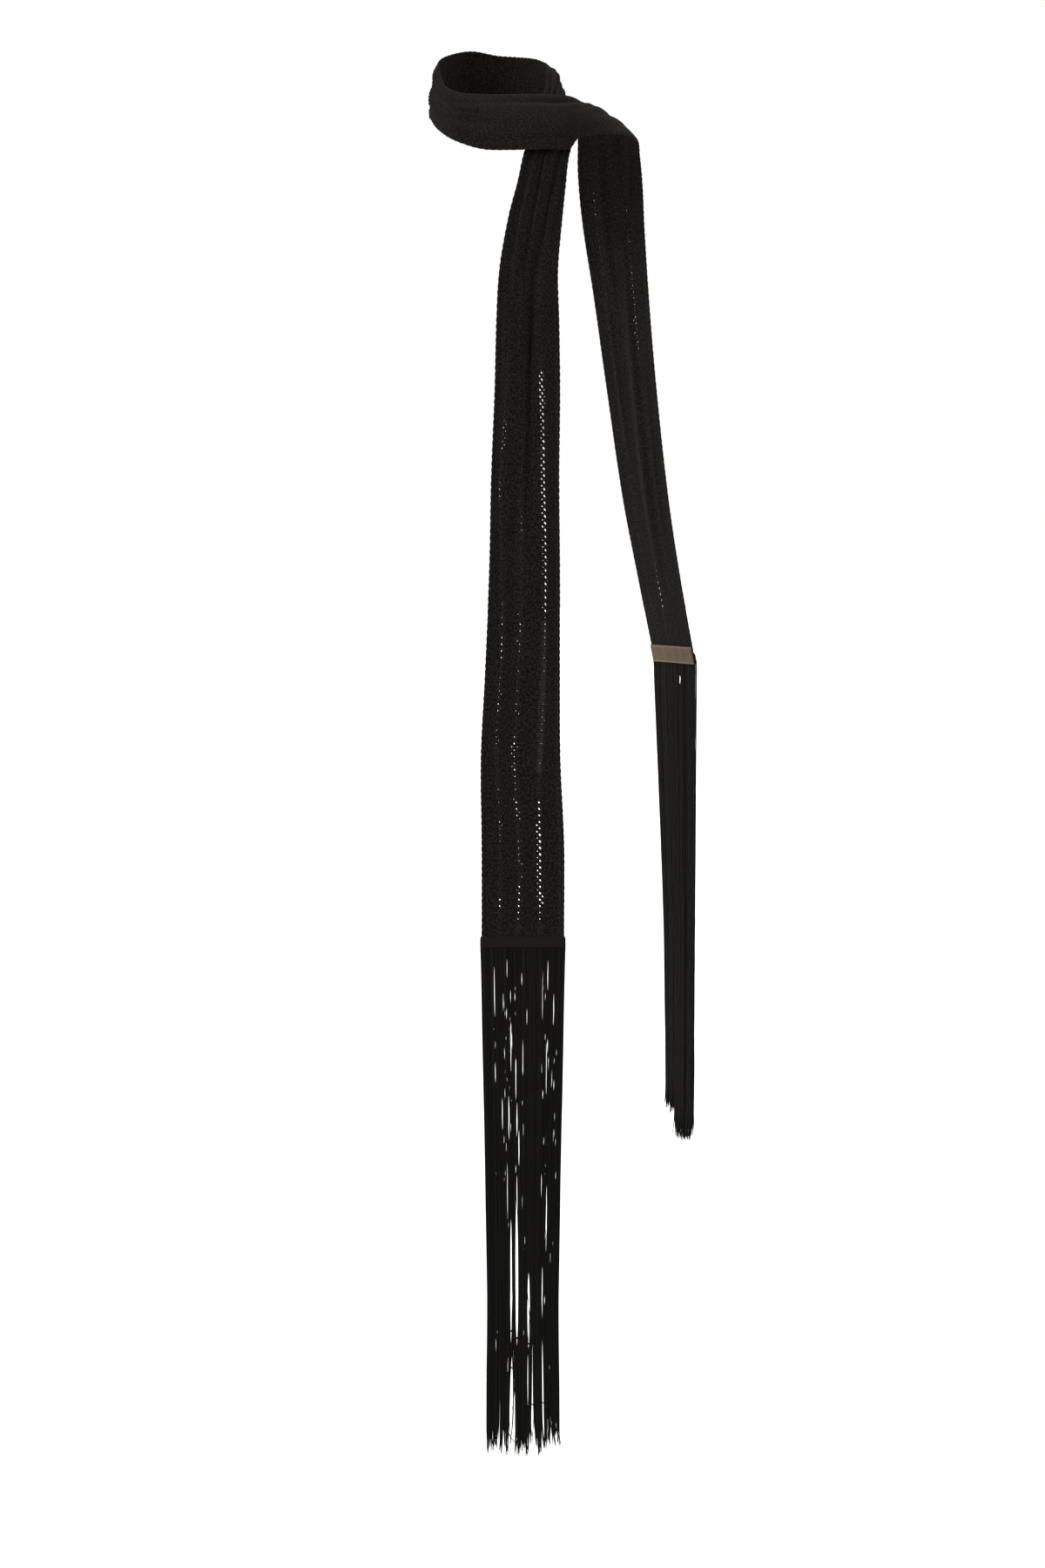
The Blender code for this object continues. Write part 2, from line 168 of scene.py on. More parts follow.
# Raised ribs: their wale from the inner edge, their width in wales, and how far they stand out next to each
# other. RIB_HEIGHTS gives what that is in millimetres at a distance from the front hem.
RIBS = [
    (2.5, 1, 0.7), (9.5, 0.9, 1), (16.5, 0.9, 1), (25.5, 0.9, 1), (32.5, 0.9, 1), (41.5, 0.9, 1),
    (48.5, 0.9, 1), (60.5, 1.1, 1.2),
]
RIB_ZIGZAG = 0.55  # wales to either side, once a repeat
RIB_HEIGHTS = [(0, 0.3), (560, 0.28), (660, 0.35), (780, 0.3), (880, 0.15), (1500, 0.15), (1984, 0.32)]

# Openwork: three files of eyelets stand side by side at each of these wales, each half a repeat on from the
# one beside it.
OPENWORK = (13, 29, 45)
COLUMNS_APART = 16
FILES = 3
EYELET_WALES, EYELET_ROWS = 2, 3
EYELET_WIDE, EYELET_TALL = 1.4 * MM, 2 * MM
EYELET_SLANT = -0.35
DIMPLE = 0.5 * MM  # of an eyelet that is pulled shut
CUT_FROM = 0.32  # an eyelet that is less open than this stays shut
EYELET_SPREAD = 0.18
HEM_PLAIN = 12 * MM  # no eyelets this near a hem
PATTERN_SEED = 5

# How far each column's three files stand open between two distances from the front hem. They show light where
# the cloth is spread flat, and elsewhere they are pulled shut. The last row that holds a place counts.
OPENNESS = [
    [
        (12, 24, 0, 0.35, 0), (30, 42, 0, 0.62, 0), (60, 98, 0, 0.18, 0), (98, 120, 0, 0.37, 0.25),
        (130, 175, 0.18, 0.22, 0), (195, 214, 0, 0.37, 0.22), (226, 250, 0, 0.48, 0.31),
        (250, 275, 0, 0.22, 0), (275, 325, 0, 0.46, 0), (325, 350, 0, 0.22, 0), (435, 455, 0, 0.55, 0.32),
        (480, 515, 0, 0.58, 0.32), (1490, 1700, 0, 0.4, 0), (1760, 1960, 0, 0.45, 0.3),
    ],
    [
        (10, 24, 0, 0.37, 0.26), (24, 56, 0.26, 0.75, 0), (56, 112, 0, 0.33, 0.23),
        (118, 142, 0.25, 0.63, 0.25), (142, 155, 0, 0.28, 0), (155, 180, 0.26, 0.55, 0),
        (180, 205, 0.48, 0.63, 0.28), (224, 245, 0, 0.4, 0.22), (245, 290, 0, 0.22, 0),
        (290, 325, 0.22, 0.37, 0), (325, 395, 0, 0.19, 0.18), (395, 470, 0, 0.3, 0),
        (1620, 1740, 0, 0.42, 0.3), (1830, 1885, 0.3, 0.48, 0), (1885, 1936, 0, 1.5, 0),
    ],
    [
        (12, 26, 0, 0.45, 0), (26, 60, 0.3, 0.95, 0), (34, 42, 0.3, 1, 0.75), (60, 120, 0.6, 1, 0),
        (120, 143, 0, 0.9, 0), (143, 292, 0, 0.28, 0.2), (292, 323, 0, 0.55, 0),
        (323, 410, 0.38, 1.2, 0.28), (410, 440, 0.65, 1.22, 0), (440, 482, 0.72, 1.2, 0),
        (482, 495, 0.3, 1.2, 0), (495, 523, 0.65, 1.1, 0), (523, 562, 1.05, 1.1, 0.42),
        (1500, 1660, 0.3, 0.55, 0), (1720, 1950, 0, 0.58, 0.38),
    ],
]

# The knit's pieces: the CAD node that each stands for, and the share of that stretch that it covers.
Piece = namedtuple("Piece", "name node start end held rests_on")
PIECES = [
    Piece("knit_front_lower", "front_panel", 0, 0.5, "hung", "knit_front_upper"),
    Piece("knit_front_upper", "front_panel", 0.5, 1, "hung", "knit_neck_rise"),
    Piece("knit_neck_rise", "neck_rise", 0, 1, "draped", "knit_neck_back"),
    Piece("knit_neck_back", "neck_back", 0, 1, "draped", "knit_neck_side"),
    Piece("knit_neck_side", "neck_side", 0, 1, "draped", "knit_neck_back"),
    Piece("knit_neck_front", "neck_front", 0, 1, "draped", "knit_front_upper"),
    Piece("knit_shoulder", "shoulder", 0, 1, "draped", "knit_neck_front"),
    Piece("knit_back", "back_panel", 0, 1, "hung", "knit_shoulder"),
]

# The fringe's heading, and the tape inside the back hem.
HEADING_TALL = 10.7 * MM
HEADING_THICK = 3 * MM
HEADING_PROUD = 1.5 * MM
HEADING_LAP = 0.8 * MM  # the heading holds this much of the knit
HEADING_CORDS = 5
CORD_RELIEF = 0.14 * MM
HEADING_ROUND = 1.8 * MM  # radius of its two ends
HEADING_SQUARE = (0.45, 0.8)  # how its section is squared off: powers for its thickness and its height
HEADING_END = 0.97  # of that radius, where its mesh ends
HEADING_END_TALL = 0.45  # of its height, that is left at its ends
HEADING_WOBBLE = 0.16 * MM
HEADING_WAVES = (3.1 * MM, 7.7 * MM)
HEADING_SIDES, HEADING_RINGS = 32, 90
SEAM = 0.3 * MM
KNIT_WALL = 2 * MM  # thickness of the knit's solids
TAPE_ON_KNIT = 8 * MM
TAPE_THICK = 1 * MM
TAPE_SELVAGE = 0.22 * MM
TAPE_SELVAGE_WIDE = 0.07  # of the tape's own width
TAPE_RIM = 0.5  # of the selvage's thickness, at the very edge
TAPE_WAVE = 0.12 * MM
TAPE_WAVES = 31.0
TAPE_ROWS, TAPE_COLUMNS = 16, 84

# Threads.
THREADS = 228
THREAD_RADIUS = 0.47 * MM
THREAD_SIDES = 4
THREAD_POINTS = 64
FRINGE_DROP = 547 * MM
THREAD_IN_HEADING = 3 * MM
ROOT_UNEVEN = 0.2  # of the threads' spacing
LAYERS = 3
LAYER_APART = 0.7 * MM
RAGGED = 7 * MM
RAGGED_IN_CLUMP = 3 * MM
SHORT_SHARE = 0.06  # of the threads are a good deal shorter
SHORT_BY = (15 * MM, 60 * MM)
CLUMP_THREADS = (3, 8)  # hang together at their tips
CLUMPING = 0.6
TIP_CURL = 1 * MM
STRAY_CURL = 0.9 * MM
TIP_LENGTH = 30 * MM
TIP_TAPER = 0.45  # of its radius, at the very end of a thread
FREE_BELOW = 60 * MM  # from here down the threads swing freely
SWAY_TWIST = 1.7  # between a thread's swing along the fringe and out of it
PUSH_REACH = 5 * MM
BESIDE_SLIT = 0.35  # of a radius, so that the threads beside a slit leave its whole width clear
SLIT_ROUNDNESS = 0.7

# A lock is a share of the threads that hangs together: its place along the heading and at the tips, and how
# far its tips end short of the longest, in millimetres.
Lock = namedtuple("Lock", "root_from root_to tip_from tip_to short")
FRONT_LOCKS = [
    Lock(0, 0.37, 0.01, 0.34, 4), Lock(0.37, 0.63, 0.4, 0.61, 0),
    Lock(0.63, 0.77, 0.65, 0.77, 2), Lock(0.77, 1, 0.8, 0.99, 8),
]
BACK_LOCKS = [
    Lock(0, 0.34, 0.06, 0.33, 33), Lock(0.34, 0.72, 0.36, 0.7, 4),
    Lock(0.72, 1, 0.73, 0.99, 8),
]

# What a fringe does on its way down: the share of the drop, its width against the heading's, how far each
# thread has left its root's place for its lock's, and how far the fringe leans outward, in millimetres.
FRONT_LEVELS = [
    (0, 1, 0, 0), (0.03, 0.985, 0, 0), (0.66, 0.86, 0, 0), (0.88, 0.885, 0.3, 0), (1, 0.905, 1, 0),
]
BACK_LEVELS = [(0, 1, 0, 0), (0.03, 0.985, 0, 0), (0.55, 0.74, 0.3, 8.5), (1, 0.69, 1, 11.5)]

# A slit is a gap between threads: its place along the heading from the middle, where it starts and ends below
# the heading, and how wide it is, in millimetres.
FRONT_SLITS = [
    (-29, 15, 74, 0.4), (-16, 8, 37, 0.3), (-20, 42, 72, 0.3), (-8, 46, 58, 0.5), (-1, 24, 43, 0.4),
    (4, 60, 84, 0.4), (20, 13, 88, 0.4), (25, 10, 50, 0.4), (31, 46, 85, 0.5), (-12, 76, 137, 0.5),
    (0, 88, 142, 0.4), (-7, 112, 162, 0.4), (24, 92, 167, 0.5), (-28, 117, 144, 0.4),
    (-21, 155, 196, 0.4), (-14, 153, 206, 0.6), (-6, 156, 200, 0.4), (-4, 190, 230, 0.6),
    (31, 187, 210, 0.4), (-16, 222, 296, 0.4), (-6, 232, 281, 0.6), (19, 232, 267, 0.4),
    (24, 244, 312, 0.6), (-12, 284, 423, 1.6), (-6.3, 265, 423, 2.8), (20, 327, 394, 0.7),
    (6, 343, 427, 2.4), (-12, 435, 530, 3), (5, 425, 501, 0.6), (10, 485, 518, 0.3), (21, 419, 514, 0.5),
]
BACK_SLITS = [(10, 11, 27, 5.6), (-26, 330, 420, 1.6), (12, 190, 260, 1.5), (28, 420, 500, 2)]
STRAY_SLITS = 140  # more of them, small, near these places along a fringe
STRAY_SLIT_AT = (-28, -17, -12, -7, 1, 21, 24, 28, 32)
STRAY_SLIT_FROM = (20.0, 487.0, 90.0)  # the highest, the lowest and where most of them start
STRAY_SLIT_ASIDE = 1.3
STRAY_SLIT_LONG = (4.0, 17.0)
STRAY_SLIT_WIDE = (0.05, 0.3)

# The threads' own swing: each wave's length and size, in millimetres.
SWAYS = [(170, 0.08), (60, 0.03)]

# A tangle is a loose thread that crosses from lock to lock: where it starts, along and below, where it ends,
# along and below, and how far it sags between, in millimetres.
FRONT_TANGLES = [
    (-17, 398, -3, 417, 2), (-13, 405, -6, 414, -2), (-16, 424, -4, 409, 3), (4, 352, 7, 392, 2),
    (8, 372, 5, 428, -3), (-2, 409, 8, 424, -2), (0, 423, 9, 415, 2), (-15, 441, -7, 449, 2),
    (-15, 449, -7, 444, -2), (-18, 510, -9, 527, 2), (5, 484, 13, 490, -2), (17, 476, 24, 487, 2),
]
TANGLE_POINTS = 14
TANGLE_RADIUS = 0.5 * MM

# Each fringe: its CAD node, its tables, and the seed of its random draws.
Fringe = namedtuple("Fringe", "name node locks levels slits tangles seed")
FRONT_FRINGE = Fringe("front", "fringe_front", FRONT_LOCKS, FRONT_LEVELS, FRONT_SLITS, FRONT_TANGLES, 11)
BACK_FRINGE = Fringe("back", "fringe_back", BACK_LOCKS, BACK_LEVELS, BACK_SLITS, [], 23)

# Finishes: what goes into these sockets of the shader.
FINISH = ("Roughness", "Specular IOR Level", "Sheen Weight", "Sheen Roughness", "Sheen Tint")
WOOLLY = (0.85, 0.05, 0.02, 0.4, (1.0, 0.9, 0.82, 1.0))
SMOOTH = (0.75, 0.05, 0.01, 0.4, (1.0, 0.92, 0.85, 1.0))
SATIN = (0.45, 0.14, 0.02, 0.3, (1.0, 0.95, 0.85, 1.0))
MATT = (0.75, 0.5)

# Looks. Each has its darkest and its palest colour, and a bump's height and strength. A noise has its scale,
# what it is multiplied by, what is added and its detail. The knit's map counts wales and courses, and the
# others count millimetres.
KNIT_BLACKS = ((0.0005, 0.0004, 0.0003), (0.0104, 0.0092, 0.0076))
KNIT_BUMP = (0.35 * MM, 0.8)
STITCH_LEAN = 1.2  # courses
FLECKS = (0.65, 6.6, -2.9)
FLECK_SHEEN_ON_STITCH = (0.5, 0.75)  # painted sheen: more on the top of a stitch, where it would catch the light
FLECK_SHADE = 0.45
KNIT_PATCHES = (0.05, 0.3, -0.05)
LADDER_NARROW = 6.0
RUNG_PAINTED_LIGHT = 0.45
RUNG_HEIGHT = 0.8
STRETCHED_COURSES = (147.0, 46.0)  # middle and half length of where the outer column's rungs show more painted light
STRETCHED_MORE = 3.6
CLOSED_COURSES = (640.0, 290.0)  # and of where no column's rungs show much painted light
CLOSED_LESS = 0.75
THREAD_BLACKS = ((0.0015, 0.0014, 0.0011), (0.0045, 0.0042, 0.0034))
THREAD_BUMP = 0.15 * MM
PLIES = 2
PLY_TURNS = 0.42  # a millimetre
PLY_SHADE = 0.35
THREAD_PATCHES = (0.03, 0.6)
PAINTED_SHADE_BELOW = 260 * MM  # from here down the threads' painted shade is at its darkest
PAINTED_SHADE_DARKER = 0.75
HEADING_BLACKS = ((0.0018, 0.0016, 0.0013), (0.0058, 0.0052, 0.0043))
HEADING_BUMP = (0.25 * MM, 0.8)
HEADING_WARP = 1.1
HEADING_WEFT = 0.9
HEADING_SPECKS = (0.9, 1.0, 0.0, 3.0)
# the tape's beiges, darkened by painted shade for the shadow inside the back hem
TAPE_BEIGES_IN_PAINTED_SHADE = ((0.026, 0.017, 0.007), (0.090, 0.060, 0.028))
TAPE_BUMP = (0.08 * MM, 0.7)
TAPE_RIB = 0.7
TAPE_CLOUDS = (0.12, 0.5, -0.05, 3.0)
PALE_SELVAGE = 1.8
SELVAGE_SHADE = 0.6
FLOOR_WHITES = ((0.97, 0.97, 0.965), (0.99, 0.99, 0.985))
FLOOR_SCALE = 3.0

# The studio. Each light has the direction that it comes from, how soft it is, in degrees, and its strength.
LIGHTS = [
    ("key", (-0.80, -0.62, 0.38), 35.0, 4.2),
    ("fill", (0.75, -0.55, 0.35), 60.0, 1.2),
    ("back", (0.45, 0.80, 0.50), 60.0, 1.0),
]
FLOOR_HALF = 15.0
FAR_AWAY = 100.0


# ---- the strip's surface ----


def ease(t):
    t = np.clip(t, 0.0, 1.0)
    return t * t * (3.0 - 2.0 * t)


def smooth(places, rows, at):
    """Rows of values at some places, read at other places: cubic, each slope taken from both neighbours."""
    last = len(places) - 1
    before = np.maximum(np.arange(last + 1) - 1, 0)
    after = np.minimum(np.arange(last + 1) + 1, last)
    slopes = (rows[after] - rows[before]) / (places[after] - places[before])[:, None]
    i = np.clip(np.searchsorted(places, at, side="right") - 1, 0, last - 1)
    span = (places[i + 1] - places[i])[:, None]
    t = (at - places[i])[:, None] / span
    return (
        (2 * t**3 - 3 * t**2 + 1) * rows[i]
        + (t**3 - 2 * t**2 + t) * slopes[i] * span
        + (3 * t**2 - 2 * t**3) * rows[i + 1]
        + (t**3 - t**2) * slopes[i + 1] * span
    )


def unit(vectors):
    return vectors / np.linalg.norm(vectors, axis=-1, keepdims=True)


class Strip:
    """The middle surface of the whole scarf, by distances from the front hem and shares across."""

    def __init__(self, sections, folds):
        self.folds = folds
        self.rows = np.array([row for rows in sections.values() for row in rows], float)
        self.rows[:, HEADING_COLUMN] = np.degrees(np.unwrap(np.radians(self.rows[:, HEADING_COLUMN])))
        steps = np.linalg.norm(np.diff(self.rows[:, :3], axis=0), axis=1) * MM
        self.places = np.cumsum([0.0, *steps])
        self.length = self.places[-1]
        firsts = np.cumsum([0, *(len(rows) for rows in sections.values())])
        joints = [*self.places[firsts[:-1]], self.length]
        self.spans = dict(zip(sections, zip(joints, joints[1:])))

    def read(self, places):
        """Middle, width, heading, dip and crown at each place, in metres and radians."""
        rows = smooth(self.places, self.rows, places)
        angles = np.radians(rows[:, HEADING_COLUMN : HEADING_COLUMN + 2])
        return rows[:, :3] * MM, rows[:, 3] * MM, angles[:, 0], angles[:, 1], rows[:, 6] * MM

    def axes(self, places):
        """Unit vectors across the strip, along it and out of its outer face."""
        _, _, heading, dip, _ = self.read(places)
        across = np.stack([np.cos(heading) * np.cos(dip), np.sin(heading) * np.cos(dip), -np.sin(dip)], 1)
        low = np.clip(places - TANGENT_STEP, 0.0, self.length)
        high = np.clip(places + TANGENT_STEP, 0.0, self.length)
        along = unit(self.read(high)[0] - self.read(low)[0])
        return across, along, unit(np.cross(across, along))

    def surface(self, places, shares, lift=0.0):
        """A grid of points, a row for each place. shares is one row for all the places, or a row for each.
        Past a hem the surface runs straight on."""
        held = np.clip(places, 0.0, self.length)
        middle, width, _, _, crown = self.read(held)
        across, along, outward = self.axes(held)
        middle = middle + along * (places - held)[:, None]
        bulge = crown[:, None] * (1.0 - (2.0 * shares - 1.0) ** 2)
        bulge = bulge - fold_depths(self.folds, held, shares) + lift
        sideways = width[:, None] * np.broadcast_to(shares - 0.5, bulge.shape)
        return middle[:, None] + across[:, None] * sideways[..., None] + outward[:, None] * bulge[..., None]


def fold_depths(folds, places, shares):
    depths = np.zeros((len(places), shares.shape[-1]))
    for start, end, at, to, wide, deep in folds:
        t = (places / MM - start) / (end - start)
        strength = ease(np.minimum(t, 1.0 - t) / FOLD_EASE)
        centre = at + (to - at) * t
        off = (shares - centre[:, None]) / wide
        depths += deep * MM * strength[:, None] * np.exp(-(off**2))
    return depths


# ---- meshes ----


def placed(name, data, location=(0.0, 0.0, 0.0), rotation=(0.0, 0.0, 0.0)):
    made = bpy.data.objects.new(name, data)
    made.location = location
    made.rotation_euler = rotation
    bpy.context.scene.collection.objects.link(made)
    return made


def shown(name, points, faces, uvs, material, node, slot):
    """A mesh piece that rides on the scarf and stands for a CAD node. uvs holds a pair for each point."""
    mesh = bpy.data.meshes.new(name)
    mesh.from_pydata(points.tolist(), [], faces.tolist())
    corners = np.empty(len(mesh.loops), np.int32)
    mesh.loops.foreach_get("vertex_index", corners)
    layer = mesh.uv_layers.new(name="cloth")
    layer.data.foreach_set("uv", uvs[corners].astype(np.float32).ravel())
    mesh.materials.append(material)
    mesh.shade_smooth()
    piece = placed(name, mesh)
    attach(piece, "root")
    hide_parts(node)
    return piece


def wall_faces(kept):
    """Quads of a wall over the kept cells of a grid: both faces, then the rims of its edges and holes.
    Points of the outer face come first, row by row, and those of the inner face after them."""
    rows, columns = kept.shape
    point = np.arange((rows + 1) * (columns + 1)).reshape(rows + 1, columns + 1)
    inner = point.size
    i, j = np.nonzero(kept)
    outer_face = [point[i, j], point[i, j + 1], point[i + 1, j + 1], point[i + 1, j]]
    inner_face = [corner + inner for corner in outer_face[::-1]]
    quads = [np.stack(outer_face, 1), np.stack(inner_face, 1)]
    padded = np.pad(kept, 1)
    above, below = padded[:-1, 1:-1], padded[1:, 1:-1]
    left, right = padded[1:-1, :-1], padded[1:-1, 1:]
    for side, other, first, second in (
        (below, above, (0, 1), (0, 0)),
        (above, below, (0, 0), (0, 1)),
        (right, left, (0, 0), (1, 0)),
        (left, right, (1, 0), (0, 0)),
    ):
        i, j = np.nonzero(side & ~other)
        start, end = point[i + first[0], j + first[1]], point[i + second[0], j + second[1]]
        quads.append(np.stack([start, end, end + inner, start + inner], 1))
    return np.concatenate(quads)


def wall_normals(grid):
    along_rows = np.gradient(grid, axis=0)
    along_columns = np.gradient(grid, axis=1)
    return unit(np.cross(along_columns, along_rows))


# ---- the knit ----


def openness_at(column, file, place):
    found = 0.0
    for start, end, *files in OPENNESS[column]:
        if start <= place / MM < end:
            found = files[file]
    return found


class Knit:
    """The whole strip as one fine grid, from which each piece takes its rows."""

    def __init__(self, strip, ends):
        self.strip = strip
        rows = round(strip.length / HALF_COURSE)
        self.places = np.linspace(0.0, strip.length, rows + 1)
        self.row = strip.length / rows
        self.spans = {piece.name: [round(end / self.row) for end in ends[piece.name]] for piece in PIECES}
        self.wales = np.arange(WALES + 1)
        self.width = strip.read(self.places)[1]
        self.shares = self.drifted()
        self.kept = np.ones((rows, WALES), bool)
        self.lift = self.relief() - self.gathers()
        self.half_thick = np.full((rows + 1, WALES + 1), HALF_THICK)
        self.side_move, self.along_move = np.zeros((2, rows + 1, WALES + 1))
        self.scallop()
        self.open_eyelets()
        self.outer, self.inner = self.faces()

    def drifted(self):
        """The share of the width at which each wale lies, in each row."""
        table = np.array(DRIFTS)
        columns = smooth(table[:, 0] * MM, table[:, 1:], self.places)
        at = np.pad(columns, ((0, 0), (1, 1)), constant_values=(0.0, 1.0))
        knots = (0, *OPENWORK, WALES)
        return np.array([np.interp(self.wales, knots, row) for row in at])

    def relief(self):
        """The courses and the raised ribs, which run in a zigzag."""
        rows = np.arange(len(self.places))
        course = np.where(rows % ROWS_A_COURSE, -COURSE_RELIEF, COURSE_RELIEF)[:, None]
        for joint in {row for span in self.spans.values() for row in span}:
            course[max(joint - 1, 0) : joint + 2] = 0.0  # so that the shading runs on from piece to piece
        zigzag = RIB_ZIGZAG * (4.0 * np.abs(rows / ROWS_A_REPEAT % 1.0 - 0.5) - 1.0)[:, None]
        ribs = sum(high * np.exp(-(((self.wales - wale - zigzag) / wide) ** 2)) for wale, wide, high in RIBS)
        return course + ribs * MM * np.interp(self.places / MM, *zip(*RIB_HEIGHTS))[:, None]

    def gathers(self):
        """Furrows that take up the cloth where the strip is narrower than the cloth."""
        table = np.array(GATHERS)
        cloth, ridges = smooth(table[:, 0] * MM, table[:, 1:], self.places).T
        spare = np.maximum(cloth * MM / self.width - 1.0, 0.0)
        deep = self.width / ridges / math.pi * np.sqrt(spare)
        drift = sum(size * np.sin(self.places / wave + phase) for size, wave, phase in GATHER_DRIFT)
        across = self.wales / WALES
        uneven = 1.0
        for size, wave, ripple, often in GATHER_UNEVEN:
            uneven = uneven + size * np.sin(self.places / wave)[:, None] * ripple(often * across)
        crowding = GATHER_CROWDING * np.sin(GATHER_CROWDS * across)
        turns = ridges[:, None] * across + drift[:, None] + crowding
        inside = ease(np.minimum(across, 1.0 - across) / GATHER_EDGE)
        return deep[:, None] * uneven * (1.0 + np.cos(2.0 * math.pi * turns)) * inside

    def scallop(self):
        """Scalloped edges, a little thicker than the knit between them."""
        turns = np.arange(len(self.places)) / ROWS_A_REPEAT
        chance = np.random.default_rng(PATTERN_SEED)
        for edge, outward in ((0, -1.0), (-1, 1.0)):
            size = 1.0 + chance.uniform(-SCALLOP_UNEVEN, SCALLOP_UNEVEN, int(turns[-1]) + 2)
            bump = SCALLOP * (np.abs(np.sin(math.pi * turns)) - 0.5) * size[turns.astype(int)]
            for i, (reach, half_thick) in enumerate(zip(SCALLOP_REACH, EDGE_HALF_THICK)):
                wale = edge - i if edge else i
                self.side_move[:, wale] = outward * bump * reach
                self.half_thick[:, wale] = half_thick

    def open_eyelets(self):
        chance = random.Random(PATTERN_SEED)
        for column, wale in enumerate(OPENWORK):
            for file in range(FILES):
                first = wale + (file - 1) * EYELET_WALES - EYELET_WALES // 2
                offset = ROWS_A_REPEAT // 2 * (file % 2)
                for start in range(offset, len(self.kept) - EYELET_ROWS, ROWS_A_REPEAT):
                    place = (start + EYELET_ROWS / 2) * self.row
                    open_by = openness_at(column, file, place) + chance.uniform(-EYELET_SPREAD, EYELET_SPREAD)
                    if HEM_PLAIN < place < self.strip.length - HEM_PLAIN:
                        self.open_eyelet(start, first, open_by)

    def open_eyelet(self, start, first, openness):
        """An oval hole in place of a block of cells, or a dimple where it is pulled shut."""
        place = start + EYELET_ROWS // 2
        block = self.width[place] * (self.shares[place, first + EYELET_WALES] - self.shares[place, first])
        narrowed = block / (FULL_WIDTH * EYELET_WALES / WALES)
        is_cut = openness >= CUT_FROM
        for i in range(EYELET_ROWS + 1):
            for j in range(EYELET_WALES + 1):
                across = (j - EYELET_WALES / 2) / (EYELET_WALES / 2)
                down = (i - EYELET_ROWS / 2) / (EYELET_ROWS / 2)
                on_rim = i in (0, EYELET_ROWS) or j in (0, EYELET_WALES)
                at = (start + i, first + j)
                if not on_rim and not is_cut:
                    self.lift[at] -= DIMPLE
                if on_rim and is_cut:
                    reach = math.hypot(across, down)
                    high = down / reach * EYELET_TALL / 2 * openness
                    wide = across / reach * EYELET_WIDE / 2 * openness * narrowed
                    self.side_move[at] = wide + EYELET_SLANT * high - across * block / 2
                    self.along_move[at] = high - down * self.row * EYELET_ROWS / 2
                    self.half_thick[at] = RIM_HALF_THICK
        if is_cut:
            self.kept[start : start + EYELET_ROWS, first : first + EYELET_WALES] = False

    def faces(self):
        """Points of the outer and of the inner face."""
        across, along, _ = self.strip.axes(self.places)
        grid = self.strip.surface(self.places, self.shares, self.lift)
        thick = wall_normals(grid) * self.half_thick[..., None]
        grid += across[:, None] * self.side_move[..., None]
        grid += along[:, None] * self.along_move[..., None]
        return grid + thick, grid - thick

    def piece(self, piece, material):
        """Its map counts wales across and courses along. Its two ends are shaded flat, so that they don't
        bend the shading beside them."""
        first, last = self.spans[piece.name]
        points = np.concatenate([face[first : last + 1].reshape(-1, 3) for face in (self.outer, self.inner)])
        wales, courses = np.meshgrid(self.wales, np.arange(first, last + 1) / ROWS_A_COURSE)
        uvs = np.tile(np.stack([wales.ravel(), courses.ravel()], 1), (2, 1))
        used, faces = np.unique(wall_faces(self.kept[first:last]), return_inverse=True)
        faces = faces.reshape(-1, 4)
        made = shown(piece.name, points[used], faces, uvs[used], material, piece.node, "knit")
        course = uvs[used][faces][:, :, 1]
        at_end = (course == courses[0, 0]).all(1) | (course == courses[-1, 0]).all(1)
        made.data.polygons.foreach_set("use_smooth", ~at_end)
        return made


def piece_ends(strip):
    """Where each piece starts and ends, from the front hem."""
    found = {}
    for piece in PIECES:
        start, end = strip.spans[piece.node]
        found[piece.name] = [start + (end - start) * share for share in (piece.start, piece.end)]
    return found


# ---- fringes ----


class Hem:
    """Where a fringe hangs from: the way along the hem, out of its face and off the cloth's end."""

    def __init__(self, strip, place):
        at = np.array([place])
        across, along, outward = strip.axes(at)
        middle, width, _, _, _ = strip.read(at)
        self.width = width[0] + 2.0 * HEADING_PROUD
        self.along = across[0]
        self.out = outward[0]
        self.off = along[0] * (1.0 if place > 0.0 else -1.0)
        flush = self.out * ((HEADING_THICK - KNIT_WALL) / 2)
        self.top = middle[0] + self.off * SEAM + flush

    def points(self, along, out, below):
        """Off the hem down to the heading's lower edge, and plumb from there on."""
        along, out, below = along[..., None], out[..., None], below[..., None]
        hung = np.maximum(0.0, below - HEADING_TALL)
        moved = self.along * along + self.out * out + self.off * (below - hung)
        return self.top + moved - np.array([0.0, 0.0, 1.0]) * hung


def ring_quads(sides, rings):
    """Quads between rings of points that follow each other."""
    ring = np.arange(sides)
    after = (ring + 1) % sides
    quad = np.stack([ring, after, after + sides, ring + sides], 1)
    return (quad[None] + (np.arange(rings - 1) * sides)[:, None, None]).reshape(-1, 4)


def tube_faces(count, rings):
    """Quads of tubes of four sides with closed ends."""
    ring = np.arange(THREAD_SIDES)
    caps = [ring[[0, 3, 2, 1]], ring + (rings - 1) * THREAD_SIDES]
    one = np.concatenate([ring_quads(THREAD_SIDES, rings), caps])
    return (one[None] + (np.arange(count) * rings * THREAD_SIDES)[:, None, None]).reshape(-1, 4)


def tubes(lines, radii, out):
    """Tubes of THREAD_SIDES sides along lines: the points, the faces and a place for each point."""
    tangents = unit(np.gradient(lines, axis=1))
    side = unit(np.cross(tangents, out))
    other = np.cross(tangents, side)
    turns = (np.arange(THREAD_SIDES) + 0.5) / THREAD_SIDES
    cosines, sines = np.cos(2 * math.pi * turns), np.sin(2 * math.pi * turns)
    rings = side[:, :, None] * cosines[:, None] + other[:, :, None] * sines[:, None]
    points = lines[:, :, None] + rings * radii[..., None, None]
    steps = np.linalg.norm(np.diff(lines, axis=1), axis=2)
    run = np.pad(np.cumsum(steps, axis=1), ((0, 0), (1, 0)))
    uvs = np.stack(np.broadcast_arrays(turns, run[..., None] / MM), -1)
    return points.reshape(-1, 3), tube_faces(*lines.shape[:2]), uvs.reshape(-1, 2)


